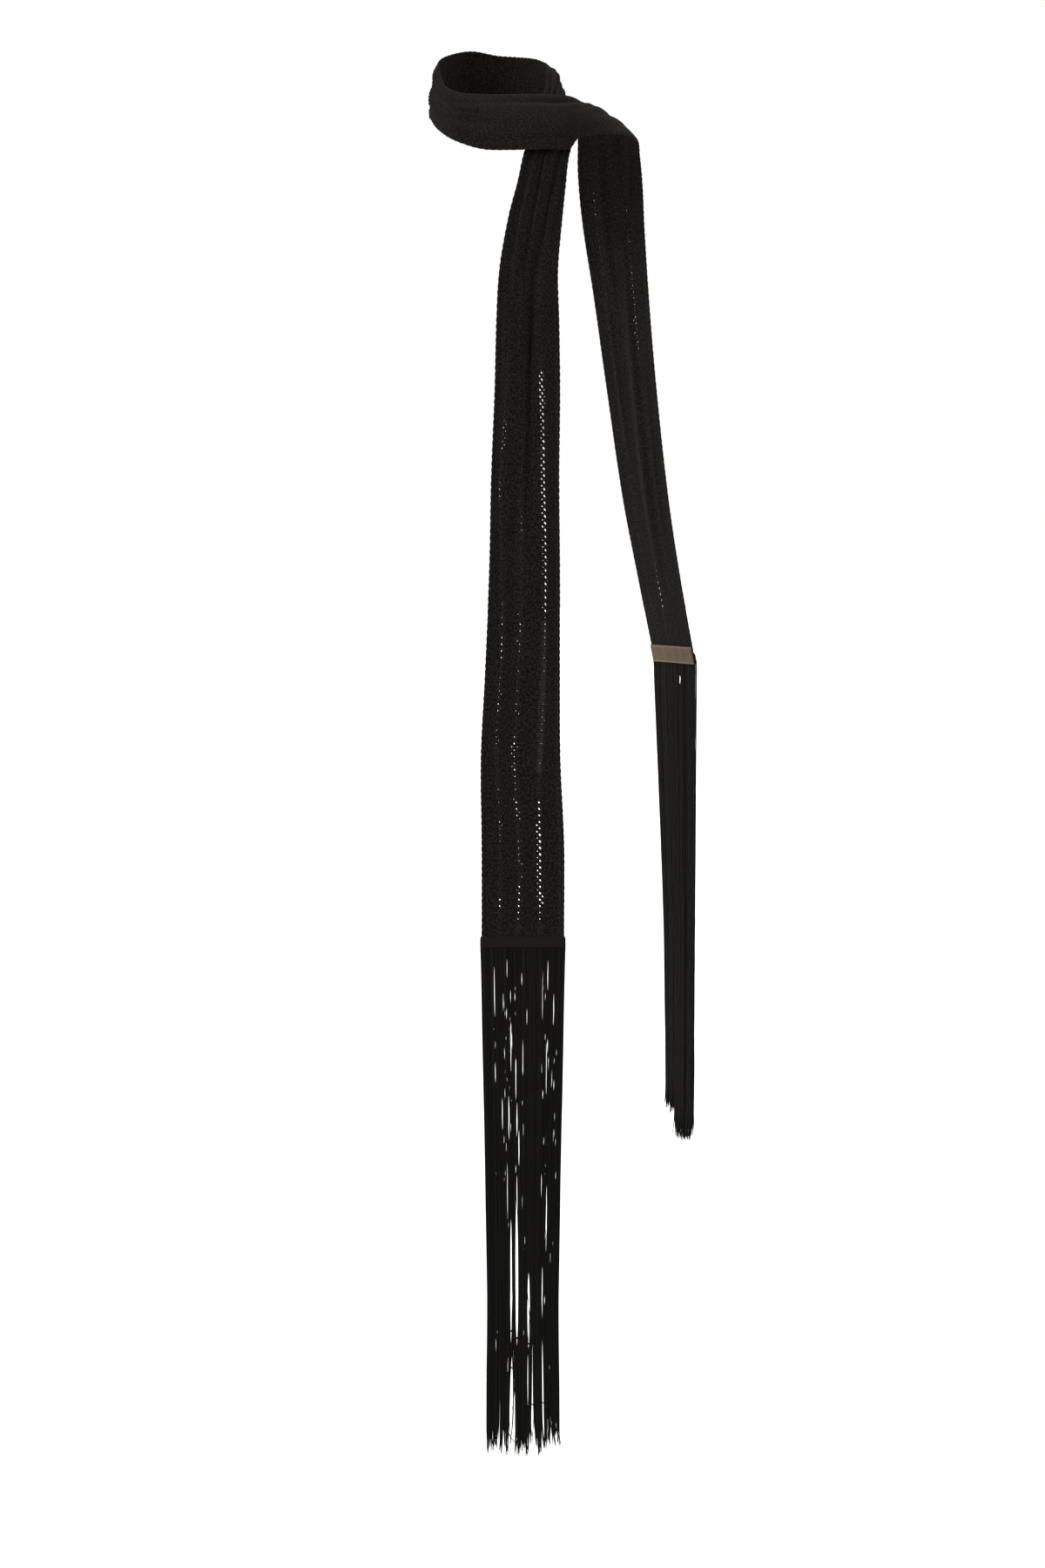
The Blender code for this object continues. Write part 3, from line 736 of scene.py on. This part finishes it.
def push_apart(along, below, slits):
    """Moves threads to either side of each slit, and back together at its ends."""
    for at, start, end, wide in np.array(slits) * MM:
        t = (below - start) / (end - start)
        middle = np.argmin(np.abs(below - (start + end) / 2), axis=1)
        off = along[np.arange(len(along)), middle] - at
        clear = wide / 2 + BESIDE_SLIT * THREAD_RADIUS
        push = np.copysign(clear, off) * np.maximum(0.0, 1.0 - np.abs(off) / PUSH_REACH)
        along = along + push[:, None] * np.sin(math.pi * np.clip(t, 0.0, 1.0)) ** SLIT_ROUNDNESS
    return along


def stray_slits(chance):
    made = []
    for _ in range(STRAY_SLITS):
        start = chance.triangular(*STRAY_SLIT_FROM)
        at = chance.choice(STRAY_SLIT_AT) + chance.gauss(0.0, STRAY_SLIT_ASIDE)
        end = start + chance.uniform(*STRAY_SLIT_LONG)
        made.append((at, start, end, chance.uniform(*STRAY_SLIT_WIDE)))
    return made


def clumped(chance):
    """The number of the clump that each thread's tip hangs in."""
    clumps = []
    while len(clumps) < THREADS:
        clumps += [clumps[-1] + 1 if clumps else 0] * chance.randint(*CLUMP_THREADS)
    return np.array(clumps[:THREADS])


def layered(chance):
    """The layer of each thread, never that of the thread before it."""
    layers = [0]
    while len(layers) < THREADS:
        layers.append((layers[-1] + chance.randint(1, LAYERS - 1)) % LAYERS)
    return np.array(layers)


def tip_of(root, lock):
    """Where a thread's tip hangs: it keeps its place in its lock."""
    inside = (root - lock.root_from) / (lock.root_to - lock.root_from)
    return lock.tip_from + inside * (lock.tip_to - lock.tip_from)


def drops_of(locks, clumps, chance):
    """How far each thread hangs below the heading."""
    ragged = [abs(chance.gauss(0.0, RAGGED)) for _ in locks]
    drops = np.array([FRINGE_DROP - lock.short * MM - ragged[clump] for lock, clump in zip(locks, clumps)])
    drops -= [abs(chance.gauss(0.0, RAGGED_IN_CLUMP)) for _ in locks]
    drops -= [chance.uniform(*SHORT_BY) if chance.random() < SHORT_SHARE else 0.0 for _ in locks]
    return drops


def thread_lines(kind, hem):
    """The centrelines of a fringe's threads and their radii."""
    chance = random.Random(kind.seed)
    roots = [(i + 0.5 + chance.uniform(-ROOT_UNEVEN, ROOT_UNEVEN)) / THREADS for i in range(THREADS)]
    locks = [next(each for each in kind.locks if root <= each.root_to) for root in roots]
    tips = np.array([tip_of(root, lock) for root, lock in zip(roots, locks)])
    roots = np.array(roots)
    clumps = clumped(chance)
    drops = drops_of(locks, clumps, chance)
    steps = np.linspace(0.0, 1.0, THREAD_POINTS)
    hung = drops[:, None] * steps
    levels = np.array(kind.levels)
    at_levels = smooth(levels[:, 0], levels[:, 1:], (hung / FRINGE_DROP).ravel())
    spread, gathered, lean = at_levels.T.reshape(-1, *hung.shape)
    share = roots[:, None] + (tips - roots)[:, None] * gathered
    along = (share - 0.5) * hem.width * spread
    layers = layered(random.Random(kind.seed))
    out = lean * MM + (layers[:, None] - (LAYERS - 1) / 2) * LAYER_APART
    free = ease(hung / FREE_BELOW)
    for wave, size in SWAYS:
        phase = np.array([chance.uniform(0.0, 2 * math.pi) for _ in locks])[:, None]
        turn = 2 * math.pi * hung / (wave * MM)
        along = along + size * MM * free * np.sin(turn + phase)
        out = out + size * MM * free * np.cos(turn + SWAY_TWIST * phase)
    along = push_apart(along, hung, [*kind.slits, *stray_slits(chance)])
    tip = np.clip(1.0 - (drops[:, None] - hung) / TIP_LENGTH, 0.0, 1.0) ** 2
    middles = np.array([along[clumps == clump, -1].mean() for clump in clumps])
    aside = np.array([chance.gauss(0.0, TIP_CURL) for _ in locks])[clumps]
    stray = np.array([chance.gauss(0.0, STRAY_CURL) for _ in locks])
    along = along + tip * (CLUMPING * (middles - along[:, -1]) + aside + stray)[:, None]
    out = out + tip * np.array([chance.gauss(0.0, TIP_CURL) for _ in locks])[:, None]
    below = HEADING_TALL + np.where(steps > 0.0, hung, -THREAD_IN_HEADING)
    radii = np.full(hung.shape, THREAD_RADIUS)
    radii[:, -1] *= TIP_TAPER
    return hem.points(along, out, below), radii


def tangle_lines(kind, hem):
    t = np.linspace(0.0, 1.0, TANGLE_POINTS)
    start_at, start_below, end_at, end_below, sag = np.array(kind.tangles).T[..., None]
    along = (start_at + (end_at - start_at) * t) * MM
    below = start_below + (end_below - start_below) * t + sag * np.sin(math.pi * t)
    out = np.full(along.shape, (LAYERS - 1) / 2 * LAYER_APART + THREAD_RADIUS)
    return hem.points(along, out, HEADING_TALL + below * MM), np.full(along.shape, TANGLE_RADIUS)


def joined(parts):
    """Meshes as one: points, faces and uvs."""
    points, faces, uvs = zip(*parts)
    starts = np.cumsum([0, *(len(each) for each in points[:-1])])
    faces = [each + start for each, start in zip(faces, starts)]
    return np.concatenate(points), np.concatenate(faces), np.concatenate(uvs)


def threads(kind, hem, material):
    parts = [tubes(*thread_lines(kind, hem), hem.out)]
    if kind.tangles:
        parts.append(tubes(*tangle_lines(kind, hem), hem.out))
    return shown(f"threads_{kind.name}", *joined(parts), material, kind.node, "thread")


def squared(value, power):
    """A sine or cosine, changed so that a ring becomes squarer."""
    return np.sign(value) * np.abs(value) ** power


def heading(kind, hem, material):
    """A woven band with rounded edges and ends, ribbed along its length."""
    turn = np.linspace(0.0, 2.0 * math.pi, HEADING_SIDES, endpoint=False)
    thick = HEADING_THICK / 2 * squared(np.cos(turn), HEADING_SQUARE[0])
    tall = (HEADING_TALL + HEADING_LAP) / 2
    down = tall * squared(np.sin(turn), HEADING_SQUARE[1])
    cords = CORD_RELIEF * np.cos(math.pi * HEADING_CORDS * (down / tall + 1.0))
    thick = thick + np.sign(thick) * cords
    along = np.linspace(-0.5, 0.5, HEADING_RINGS) * hem.width
    past = (np.abs(along) - (hem.width / 2 - HEADING_ROUND)) / HEADING_ROUND
    full = np.sqrt(1.0 - np.clip(past, 0.0, HEADING_END) ** 2)
    wobble = sum(HEADING_WOBBLE * np.sin(along / wave) for wave in HEADING_WAVES)
    out = thick[None] * full[:, None]
    taper = HEADING_END_TALL + (1.0 - HEADING_END_TALL) * full[:, None]
    below = (HEADING_TALL - HEADING_LAP) / 2 + down[None] * taper + wobble[:, None]
    points = hem.points(np.repeat(along[:, None], HEADING_SIDES, 1), out, np.minimum(below, HEADING_TALL))
    faces = ring_quads(HEADING_SIDES, HEADING_RINGS)[:, [0, 3, 2, 1]]
    fan = np.arange(0, HEADING_SIDES - 2, 2)
    cap = np.stack([np.zeros_like(fan), fan + 1, fan + 2, (fan + 3) % HEADING_SIDES], 1)
    faces = np.concatenate([faces, cap, cap[:, ::-1] + (HEADING_RINGS - 1) * HEADING_SIDES])
    run, rise = np.meshgrid(along / MM, down / MM, indexing="ij")
    uvs = np.stack([run.ravel(), rise.ravel()], 1)
    return shown(f"heading_{kind.name}", points.reshape(-1, 3), faces, uvs, material, kind.node, "thread")


def inner_tape(strip, material):
    """It lies on the inner face, over the join of knit and heading, with a thicker selvage at each edge."""
    start, end = strip.length - TAPE_ON_KNIT, strip.length + SEAM + HEADING_TALL
    t = np.linspace(0.0, 1.0, TAPE_ROWS + 1)
    shares = np.linspace(0.0, 1.0, TAPE_COLUMNS + 1)
    lift = -(KNIT_WALL / 2 + SEAM + TAPE_THICK / 2)
    wave = TAPE_WAVE * np.sin(shares * TAPE_WAVES)[None] * np.sin(math.pi * t)[:, None]
    grid = strip.surface(start + (end - start) * t, shares, lift + wave)
    edge = np.exp(-((np.minimum(t, 1.0 - t) / TAPE_SELVAGE_WIDE) ** 2))
    half = TAPE_THICK / 2 - TAPE_SELVAGE + TAPE_SELVAGE * edge
    half[[0, -1]] *= TAPE_RIM
    thick = wall_normals(grid) * half[:, None, None]
    points = np.concatenate([(grid + thick).reshape(-1, 3), (grid - thick).reshape(-1, 3)])
    faces = wall_faces(np.ones((TAPE_ROWS, TAPE_COLUMNS), bool))
    run, rise = np.meshgrid(shares * FULL_WIDTH / MM, t * (end - start) / MM)
    uvs = np.tile(np.stack([run.ravel(), rise.ravel()], 1), (2, 1))
    return shown("inner_tape_band", points, faces, uvs, material, "inner_tape", "tape")


# ---- materials ----


class Look:
    """A material: a Principled shader, and short ways to add nodes that feed it."""

    def __init__(self, name, finish):
        self.material = bpy.data.materials.new(name)
        self.material.use_nodes = True
        self.nodes = self.material.node_tree.nodes
        self.links = self.material.node_tree.links
        self.shader = self.nodes["Principled BSDF"]
        for socket, value in zip(FINISH, finish):
            self.shader.inputs[socket].default_value = value

    def add(self, kind, inputs):
        """A node, with a value or a link for each of these inputs."""
        node = self.nodes.new(kind)
        for key, value in inputs.items():
            if isinstance(value, bpy.types.NodeSocket):
                self.links.new(value, node.inputs[key])
            else:
                node.inputs[key].default_value = value
        return node

    def maths(self, operation, *values):
        node = self.add("ShaderNodeMath", dict(enumerate(values)))
        node.operation = operation
        return node.outputs[0]

    def wave(self, value, length, shape="COSINE"):
        """Between -1 and 1, once in each length of the value."""
        return self.maths(shape, self.maths("MULTIPLY", value, 2.0 * math.pi / length))

    def raised(self, value):
        """From between -1 and 1 to between 0 and 1."""
        return self.maths("MULTIPLY_ADD", value, 0.5, 0.5)

    def cloth_place(self):
        """The two numbers of the piece's own map, and the pair as a vector."""
        uv = self.add("ShaderNodeUVMap", {})
        uv.uv_map = "cloth"
        split = self.add("ShaderNodeSeparateXYZ", {0: uv.outputs[0]})
        return split.outputs["X"], split.outputs["Y"], uv.outputs[0]

    def noise(self, vector, scale, times=1.0, plus=0.0, detail=2.0):
        node = self.add("ShaderNodeTexNoise", {"Vector": vector, "Scale": scale, "Detail": detail})
        return self.maths("MULTIPLY_ADD", node.outputs[0], times, plus)

    def colour(self, factor, dark, light):
        """From dark at 0 to light at 1, and on past it."""
        node = self.add("ShaderNodeMix", {0: factor, 6: (*dark, 1.0), 7: (*light, 1.0)})
        node.data_type = "RGBA"
        node.clamp_factor = False
        self.links.new(node.outputs[2], self.shader.inputs["Base Color"])

    def bump(self, height, distance, strength=1.0):
        node = self.add("ShaderNodeBump", {"Height": height, "Distance": distance, "Strength": strength})
        self.links.new(node.outputs[0], self.shader.inputs["Normal"])


def knit_look():
    """Fine black stitches: each is a V, its two legs leaning together, and painted sheen makes it a little
    lighter on top.
    Along the openwork columns and the outer selvage the courses stand out as rows of rungs, painted paler as
    light showing through their gaps."""
    look = Look("knit_black", WOOLLY)
    maths = look.maths
    wale, course, place = look.cloth_place()
    aside = maths("ABSOLUTE", maths("SUBTRACT", maths("FRACT", wale), 0.5))
    loop = look.raised(look.wave(maths("MULTIPLY_ADD", aside, STITCH_LEAN, course), 1.0))
    leg_off = maths("MULTIPLY_ADD", aside, 4.0, -1.0)
    leg = maths("SUBTRACT", 1.0, maths("MULTIPLY", leg_off, leg_off))
    stitch = maths("MULTIPLY", loop, leg)
    column = look.wave(maths("SUBTRACT", wale, OPENWORK[0]), COLUMNS_APART)
    in_column = maths("POWER", look.raised(column), LADDER_NARROW)
    # painted light: paler rungs along the columns, where light shows through the gaps between courses
    lit_rungs = maths("MULTIPLY", look.raised(look.wave(course, 1.0)), in_column)
    on_outer = maths("COMPARE", wale, OPENWORK[2], COLUMNS_APART / 2)
    stretched = maths("MULTIPLY", maths("COMPARE", course, *STRETCHED_COURSES), on_outer)
    closed = maths("COMPARE", course, *CLOSED_COURSES)
    less = maths("MULTIPLY_ADD", closed, -CLOSED_LESS, 1.0)
    lit_rungs = maths("MULTIPLY", lit_rungs, maths("MULTIPLY_ADD", stretched, STRETCHED_MORE, less))
    # random flecks, with painted sheen that makes them stronger on the top of each stitch
    flecks_and_sheen = maths("MULTIPLY", look.noise(place, *FLECKS), maths("MULTIPLY_ADD", stitch, *FLECK_SHEEN_ON_STITCH))
    shade = maths("MULTIPLY_ADD", flecks_and_sheen, FLECK_SHADE, look.noise(place, *KNIT_PATCHES))
    # the rungs' painted light, added to the colour
    shade = maths("MULTIPLY_ADD", lit_rungs, RUNG_PAINTED_LIGHT, shade)
    look.colour(maths("MAXIMUM", shade, 0.0), *KNIT_BLACKS)
    look.bump(maths("MULTIPLY_ADD", lit_rungs, RUNG_HEIGHT, stitch), *KNIT_BUMP)
    return look.material


def thread_look():
    """Smooth black twisted thread: two plies that wind round each other. The threads hang closer further
    down, and painted shade darkens their colour there."""
    look = Look("thread_black", SMOOTH)
    maths = look.maths
    round_it, run, place = look.cloth_place()
    ply = look.raised(look.wave(maths("MULTIPLY_ADD", run, PLY_TURNS, round_it), 1 / PLIES, "SINE"))
    shade = maths("MULTIPLY_ADD", ply, PLY_SHADE, look.noise(place, *THREAD_PATCHES))
    # painted shade: the colour darkens down each thread, as in deeper shadow
    down = maths("MINIMUM", maths("MULTIPLY", run, MM / PAINTED_SHADE_BELOW), 1.0)
    look.colour(maths("MULTIPLY", shade, maths("MULTIPLY_ADD", down, -PAINTED_SHADE_DARKER, 1.0)), *THREAD_BLACKS)
    look.bump(ply, THREAD_BUMP)
    return look.material


def heading_look():
    """Black woven band: fine ribs along it, crossed by the weft."""
    look = Look("heading_black", WOOLLY)
    maths = look.maths
    run, rise, place = look.cloth_place()
    weave = look.raised(maths("MULTIPLY", look.wave(rise, HEADING_WARP), look.wave(run, HEADING_WEFT)))
    height = maths("ADD", weave, look.noise(place, *HEADING_SPECKS))
    look.colour(maths("MULTIPLY", height, 0.5), *HEADING_BLACKS)
    look.bump(height, *HEADING_BUMP)
    return look.material


def tape_look():
    """Beige satin tape, its colour darkened by painted shade: close, smooth ribs across it, and a paler
    selvage.
    """
    look = Look("tape_beige", SATIN)
    maths = look.maths
    run, rise, place = look.cloth_place()
    middle = (TAPE_ON_KNIT + SEAM + HEADING_TALL) / 2 / MM
    from_middle = maths("ABSOLUTE", maths("SUBTRACT", rise, middle))
    selvage = maths("GREATER_THAN", from_middle, middle - PALE_SELVAGE)
    # painted shade: the tape's beiges are darker than its own colour
    look.colour(maths("MULTIPLY_ADD", selvage, SELVAGE_SHADE, look.noise(place, *TAPE_CLOUDS)), *TAPE_BEIGES_IN_PAINTED_SHADE)
    look.bump(look.raised(look.wave(run, TAPE_RIB)), *TAPE_BUMP)
    return look.material


def floor_look():
    look = Look("pale_floor", MATT)
    place = look.add("ShaderNodeTexCoord", {}).outputs["Object"]
    look.colour(look.noise(place, FLOOR_SCALE), *FLOOR_WHITES)
    return look.material


# ---- the studio ----


def camera():
    made = bpy.data.cameras.new("camera")
    made.sensor_fit = "VERTICAL"
    made.sensor_height = SENSOR_HEIGHT
    made.lens = LENS
    made.clip_end = FAR_AWAY
    tilt = (math.radians(90.0 - CAMERA_DOWN), 0.0, 0.0)
    bpy.context.scene.camera = placed("camera", made, CAMERA_AT, tilt)


def studio():
    """Even white light all round, and soft light from a few directions, as from large diffusers."""
    world = bpy.data.worlds.new("studio")
    bpy.context.scene.world = world
    world.use_nodes = True
    background = world.node_tree.nodes["Background"].inputs
    background["Color"].default_value = (1.0, 1.0, 1.0, 1.0)
    background["Strength"].default_value = 1.0
    bpy.context.scene.view_settings.view_transform = "Standard"
    for name, towards, spread, strength in LIGHTS:
        made = bpy.data.lights.new(name, "SUN")
        made.angle = math.radians(spread)
        made.energy = strength
        placed(name, made, rotation=Vector(towards).to_track_quat("Z", "Y").to_euler())


def floor():
    corners = [(x * FLOOR_HALF, y * FLOOR_HALF, FLOOR_Z) for x, y in ((-1, -1), (1, -1), (1, 1), (-1, 1))]
    mesh = bpy.data.meshes.new("floor")
    mesh.from_pydata(corners, [], [(0, 1, 2, 3)])
    mesh.materials.append(floor_look())
    placed("floor", mesh)


def main():
    camera()
    studio()
    floor()
    strip = Strip(SECTIONS, MAIN_FOLDS + SMALL_FOLDS)
    ends = piece_ends(strip)
    knit, black = Knit(strip, ends), knit_look()
    made = {piece.name: knit.piece(piece, black) for piece in PIECES}
    thread, band = thread_look(), heading_look()
    with_pieces = {}
    front, back = (FRONT_FRINGE, 0.0, "knit_front_lower"), (BACK_FRINGE, strip.length, "knit_back")
    for kind, place, panel in (front, back):
        hem = Hem(strip, place)
        with_pieces[panel] = [heading(kind, hem, band), threads(kind, hem, thread)]
    with_pieces["knit_back"].append(inner_tape(strip, tape_look()))


main()
